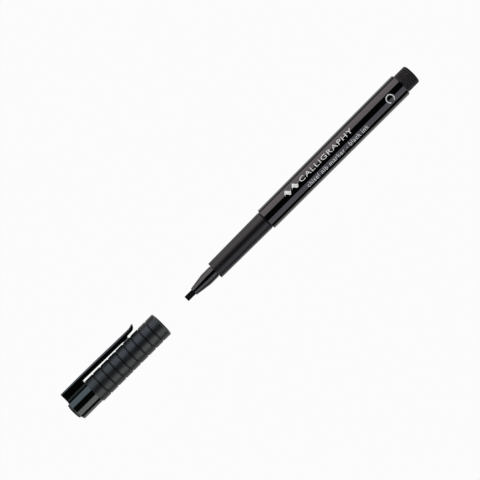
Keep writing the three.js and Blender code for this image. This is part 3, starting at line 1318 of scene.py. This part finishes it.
@dataclass
class CrownAndClip:
    """Glossy crown moulded in one with the clip: a root block, the spring arm, its tooth and turned-out tip.

    The arm's sections are (distance from the cap's mouth, low side, high side) in mm, the sides measured from
    the pen's axis. Its long edges are rounded by a share of its thickness there, up to a width: broadly on
    its back, and less on its belly. rear_rim is how far the crown's rear edge is cut along the axis and
    inwards.
    """

    sides: int = 102
    root_facets: int = 12
    root_front: float = 39.2 * MM
    rear_corner: float = 0.2 * MM
    rear_rim: Pair = (0.2 * MM, 0.24 * MM)
    seat_radius: float = 3.68 * MM
    seat_depth: float = 1.0 * MM
    stem_bore: float = 1.2 * MM
    bore: float = 3.85 * MM
    arm_low: float = 6.4 * MM
    back_width: float = 0.94 * MM
    belly_width: float = 0.25 * MM
    back_share: float = 0.38
    belly_share: float = 0.2
    fillet: float = 0.1 * MM
    rounding_steps: int = 7
    bend_length: float = 7.0 * MM
    sections: tuple[Point, ...] = (
        (30.0, 6.19, 8.66), (17.2, 5.88, 8.35), (16.4, 5.84, 8.33), (15.9, 5.65, 8.31), (13.9, 5.65, 8.27),
        (13.4, 6.4, 8.26), (12.2, 6.41, 8.24), (11.2, 6.43, 8.24), (10.5, 6.52, 8.28), (10.15, 6.61, 8.36),
        (9.85, 6.76, 8.46), (9.6, 6.93, 8.56), (9.35, 7.15, 8.66), (9.15, 7.42, 8.72), (8.95, 7.82, 8.72),
        (8.82, 8.06, 8.64), (8.74, 8.24, 8.52),
    )

    def __post_init__(self) -> None:
        """Reads where the crown, its root and the arm are."""
        sleeve_low, sleeve_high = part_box("cap_sleeve")
        shell_low, shell_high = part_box("cap_shell")
        self.mouth = sleeve_high.x
        self.front = sleeve_low.x - JOINT_GAP
        self.rear = shell_low.x
        self.radius = shell_high.z
        self.top = shell_high.y
        facet = 2 * math.pi / self.sides
        self.half_width = self.radius * math.sin(self.root_facets / 2 * facet)
        self.root_front_x = self.mouth - self.root_front
        self.places = [(self.root_front_x, self.arm_low, self.top)]
        self.places += [(self.mouth - depth * MM, low * MM, high * MM) for depth, low, high in self.sections]

    def crown(self) -> bpy.types.Object:
        """Turns the crown, with a ring where the root's front wall will stand.

        Returns:
            The crown.
        """
        along, inwards = self.rear_rim
        seat = self.rear + self.seat_depth
        turning = Turning("crown_and_clip", self.front, self.radius, self.sides)
        turning.through([
            (self.root_front_x, self.radius),
            (self.rear + along, self.radius),
            (self.rear, self.radius - inwards),
            (self.rear, self.seat_radius),
            (seat, self.seat_radius),
            (seat, self.stem_bore),
            (seat + self.seat_depth, self.stem_bore),
            (seat + self.seat_depth, self.bore),
            (self.front, self.bore),
        ])
        return turning.to_start().done()

    def raise_root(self, piece: bpy.types.Object) -> None:
        """Draws the root block out of the crown's side, with single faces for walls and a parted front wall.

        Args:
            piece: the crown.
        """
        def under_root(centre: Vector, normal: Vector) -> bool:
            """Tells if a face of the crown's side lies under the root."""
            return (normal.y > 0.5 and abs(centre.z) < self.half_width and centre.x < self.root_front_x
                    and centre.y > 0.8 * self.radius)

        edit(piece)
        pick(piece, face=under_root)
        bpy.ops.mesh.extrude_region_move(TRANSFORM_OT_translate={"value": (0, self.top - self.radius, 0)})
        bpy.ops.transform.resize(value=(1, 0, 1), center_override=(0, self.top, 0))
        pick(piece, face=lambda centre, normal: centre.y > self.radius
             and abs(centre.z) <= self.half_width + TOUCH)
        bpy.ops.mesh.dissolve_limited(angle_limit=math.radians(1))
        pick(piece, face=lambda centre, normal: normal.x > 0.9 and centre.y > self.radius)
        bpy.ops.mesh.bisect(plane_co=(0, self.arm_low, 0), plane_no=(0, 1, 0))

    def draw_arm(self, piece: bpy.types.Object) -> None:
        """Draws the arm out of the root's front wall, section by section.

        Args:
            piece: the crown with its root, in edit mode.
        """
        pick(piece, face=lambda centre, normal: normal.x > 0.9 and centre.y > self.arm_low
             and abs(centre.x - self.root_front_x) < TOUCH)
        for (x, low, high), (new_x, new_low, new_high) in zip(self.places, self.places[1:]):
            bpy.ops.mesh.extrude_region_move(TRANSFORM_OT_translate={"value": (new_x - x, 0, 0)})
            middle = (low + high) / 2
            bpy.ops.transform.resize(value=(1, (new_high - new_low) / (high - low), 1),
                                     center_override=(new_x, middle, 0))
            bpy.ops.transform.translate(value=(0, (new_low + new_high) / 2 - middle, 0))

    def round_edges(self, piece: bpy.types.Object) -> None:
        """Gives each sharp edge its own rounding.

        Args:
            piece: the crown and clip.
        """
        mesh = piece.data
        name = "bevel_weight_edge"
        weights = mesh.attributes.get(name) or mesh.attributes.new(name, "FLOAT", "EDGE")
        for edge in mesh.edges:
            width = self.rounding(*(mesh.vertices[i].co for i in edge.vertices))
            weights.data[edge.index].value = width / self.back_width
        apply_modifier(piece, "BEVEL", width=self.back_width, segments=self.rounding_steps,
                       limit_method="WEIGHT", use_clamp_overlap=False, miter_outer="MITER_ARC")

    def rounding(self, a: Vector, b: Vector) -> float:
        """Tells how widely an edge is rounded.

        Args:
            a: the edge's one end.
            b: its other end.

        Returns:
            The width, which is 0 on an edge that stays as it is.
        """
        height = (a.y + b.y) / 2
        on_wall = min(abs(a.z), abs(b.z)) > self.half_width - TOUCH and a.z * b.z > 0
        at_rear = max(a.x, b.x) < self.rear + TOUCH and min(a.y, b.y) > 0.9 * self.radius
        if at_rear and (on_wall or min(a.y, b.y) > self.top - TOUCH):
            return self.rear_corner
        if not on_wall or abs(a.x - b.x) <= max(TOUCH, 4 * abs(a.z - b.z)):
            return 0.0
        if min(a.y, b.y) > self.radius + TOUCH or (min(a.x, b.x) > self.front + MM and a.y > self.radius):
            low, high = self.span_at((a.x + b.x) / 2)
            if height > (low + high) / 2:
                return min(self.back_width, self.back_share * (high - low))
            return min(self.belly_width, self.belly_share * (high - low))
        return self.fillet if abs(height - self.radius) < MM and min(a.x, b.x) < self.front else 0.0

    def span_at(self, x: float) -> Pair:
        """Gives the arm's two sides.

        Args:
            x: a place along the pen.

        Returns:
            The arm's low and high side there.
        """
        if x <= self.root_front_x:
            return self.arm_low, self.top
        for (x0, low0, high0), (x1, low1, high1) in zip(self.places, self.places[1:]):
            if x <= x1:
                share = (x - x0) / (x1 - x0)
                return low0 + share * (low1 - low0), high0 + share * (high1 - high0)
        return self.places[-1][1:]

    def build(self) -> None:
        """Builds crown and clip as one piece."""
        piece = self.crown()
        self.raise_root(piece)
        self.draw_arm(piece)
        close_up()
        self.round_edges(piece)
        settle(piece, CAP_GLOSS, Slot.CAP, None, "cap_shell", "cap_clip")
        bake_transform(piece)


# ---------------------------------------------------------------- the studio


class Side(int, Enum):
    """The two sides of the pen as the soft boxes stand, by the sign of Y."""

    CLIP = 1
    FAR = -1


@dataclass(frozen=True)
class SoftBox:
    """A long soft box beside the pen that lights the pieces of one body only.

    span holds its upper and lower edge in degrees from straight up, and stretch its two ends along the pen.
    """

    name: str
    lit: Body
    side: Side
    span: Pair
    stretch: Pair
    radiance: float
    colour: Colour = (1, 1, 1)
    reach: float = 0.6

    def hang(self) -> None:
        """Hangs the light so that it faces the pen's axis."""
        middle = math.radians(sum(self.span) / 2)
        width = 2 * self.reach * math.tan(math.radians(self.span[1] - self.span[0]) / 2)
        length = self.stretch[1] - self.stretch[0]
        across, up = self.side * self.reach * math.sin(middle), self.reach * math.cos(middle)
        place = (sum(self.stretch) / 2, across, up)
        deselect_all()
        bpy.ops.object.light_add(type="AREA", location=place, rotation=(-self.side * middle, 0, 0))
        light = named(self.name)
        light.data.shape = "RECTANGLE"
        light.data.size, light.data.size_y = length, width
        light.data.energy = self.radiance * math.pi * length * width
        light.data.color = self.colour
        light.visible_camera = False
        pieces = bpy.data.collections.new(self.name)
        for piece in LIT[self.lit]:
            pieces.objects.link(piece)
        light.light_linking.receiver_collection = pieces


@dataclass
class Studio:
    """Light table, soft boxes on both sides of pen and cap, black cards low beside them, and a pale room.

    split lies between pen and cap, and the cards are given by their two sides across the pen.
    """

    split: float = -8 * MM
    barrel_front: float = 46 * MM
    crown_split: float = -118 * MM
    ends: Pair = (-0.36, 0.38)
    end_gap: float = 0.12
    end_length: float = 1.1
    end_span: Pair = (20, 84)
    end_radiance: float = 0.5
    floor_size: float = 6.0
    room: Colour = (0.93, 0.93, 0.93)
    mirrored_room: Colour = (0.008, 0.008, 0.008)
    card_lift: float = 0.2 * MM
    far_card: Pair = (-2.9, -33 * MM)
    far_cap_card: Pair = (-2.9, -41 * MM)
    pen_card: Pair = (23 * MM, 47 * MM)
    cap_card: Pair = (21 * MM, 2.9)

    def floor(self) -> None:
        """Lays the light table under the pen's lowest point."""
        deselect_all()
        middle = (CAD_BOX[0] + CAD_BOX[1]) / 2
        bpy.ops.mesh.primitive_plane_add(size=self.floor_size, location=(middle.x, middle.y, CAD_BOX[0].z))
        table = named("light_table")
        table.data.materials.append(LIGHT_TABLE.material())

    def black_card(self, name: str, stretch: Pair, span: Pair) -> None:
        """Lays a black card on the table that only what mirrors it sees.

        Args:
            name: the card's name.
            stretch: its two ends along the pen.
            span: its two sides, by their distance to the clip's side of the axis.
        """
        deselect_all()
        middle = (sum(stretch) / 2, sum(span) / 2, CAD_BOX[0].z + self.card_lift)
        bpy.ops.mesh.primitive_plane_add(size=1, location=middle)
        card = named(name)
        card.scale = (stretch[1] - stretch[0], span[1] - span[0], 1)
        card.data.materials.append(BLACK_CARD.material())
        card.visible_camera = card.visible_diffuse = card.visible_shadow = False

    def backdrop(self) -> None:
        """Makes the room pale to the eye, and dark in what the pen mirrors."""
        world = bpy.data.worlds.new("pale_room")
        bpy.context.scene.world = world
        world.use_nodes = True
        tree = world.node_tree
        seen = tree.nodes["Background"]
        seen.inputs["Color"].default_value = (*self.room, 1)
        dark = tree.nodes.new("ShaderNodeBackground")
        dark.inputs["Color"].default_value = (*self.mirrored_room, 1)
        chooser = tree.nodes.new("ShaderNodeMixShader")
        path = tree.nodes.new("ShaderNodeLightPath")
        tree.links.new(path.outputs["Is Camera Ray"], chooser.inputs["Fac"])
        tree.links.new(dark.outputs["Background"], chooser.inputs[1])
        tree.links.new(seen.outputs["Background"], chooser.inputs[2])
        tree.links.new(chooser.outputs["Shader"], tree.nodes["World Output"].inputs["Surface"])

    def side_boxes(self) -> list[SoftBox]:
        """Gives the boxes beside the marker, each with its body's own tint.

        Returns:
            The boxes.
        """
        low, high = self.ends
        crown, sleeve = (low, self.crown_split), (self.crown_split, high)
        return [
            SoftBox("clip_side_pen", Body.PEN, Side.CLIP, (32, 91), self.ends, 2.6, (1.0, 0.89, 0.93)),
            SoftBox("far_side_pen", Body.PEN, Side.FAR, (24, 74), self.ends, 1.8, (0.90, 0.87, 1.0)),
            SoftBox("clip_side_crown", Body.CAP, Side.CLIP, (27, 83), crown, 2.4, (0.68, 0.92, 1.02)),
            SoftBox("clip_side_sleeve", Body.CAP, Side.CLIP, (26, 95), sleeve, 2.5, (0.90, 0.94, 1.12)),
            SoftBox("far_side_cap", Body.CAP, Side.FAR, (28, 76), self.ends, 2.75, (0.97, 0.99, 1.0)),
        ]

    def end_boxes(self) -> list[SoftBox]:
        """Gives dim boxes beyond the ends of the others, which show the marker's form from low angles.

        Returns:
            The boxes.
        """
        low, high = self.ends
        reaches = {"head": (low - self.end_gap - self.end_length, low - self.end_gap),
                   "tail": (high + self.end_gap, high + self.end_gap + self.end_length)}
        return [SoftBox(f"{side.name.lower()}_{end}_{body.value}", body, side, self.end_span, stretch,
                        self.end_radiance)
                for body in LIT for side in Side for end, stretch in reaches.items()]

    def build(self) -> None:
        """Sets up everything around the marker."""
        low, high = self.ends
        self.floor()
        for box in self.side_boxes() + self.end_boxes():
            box.hang()
        self.black_card("far_card", (self.split, high), self.far_card)
        self.black_card("far_cap_card", (low, self.split), self.far_cap_card)
        self.black_card("pen_card", (self.barrel_front, high), self.pen_card)
        self.black_card("cap_card", (low, self.split), self.cap_card)
        self.backdrop()
        bpy.context.scene.view_settings.view_transform = "Standard"
        LOG.info("studio: table, soft boxes, cards and room")


@dataclass
class ProductCamera:
    """Camera straight above the pen, turned so that the pen runs from low left to high right."""

    distance: float = 0.697
    view_width: float = 0.1968
    aim: Pair = (32.6 * MM, 1.62 * MM)
    turn: float = -45.0
    clip_range: Pair = (0.01, 20)

    def build(self) -> None:
        """Adds the camera and makes it the scene's own."""
        deselect_all()
        place = (*self.aim, self.distance)
        bpy.ops.object.camera_add(location=place, rotation=(0, 0, math.radians(self.turn)))
        camera = named("product_camera")
        camera.data.lens = camera.data.sensor_width * self.distance / self.view_width
        camera.data.clip_start, camera.data.clip_end = self.clip_range
        bpy.context.scene.camera = camera


def main() -> None:
    """Builds the marker, its camera and its studio."""
    logging.basicConfig(level=logging.INFO, format="%(name)s %(message)s")
    ProductCamera().build()
    nib = Nib()
    Barrel().build()
    EndPlug().build()
    GripSection().build()
    NoseCone().build(nib)
    nib.build()
    InkStore().build()
    CapSleeve().build()
    CapCore().build()
    CapDisc().build()
    CrownAndClip().build()
    Studio().build()


if __name__ == "__main__":
    main()
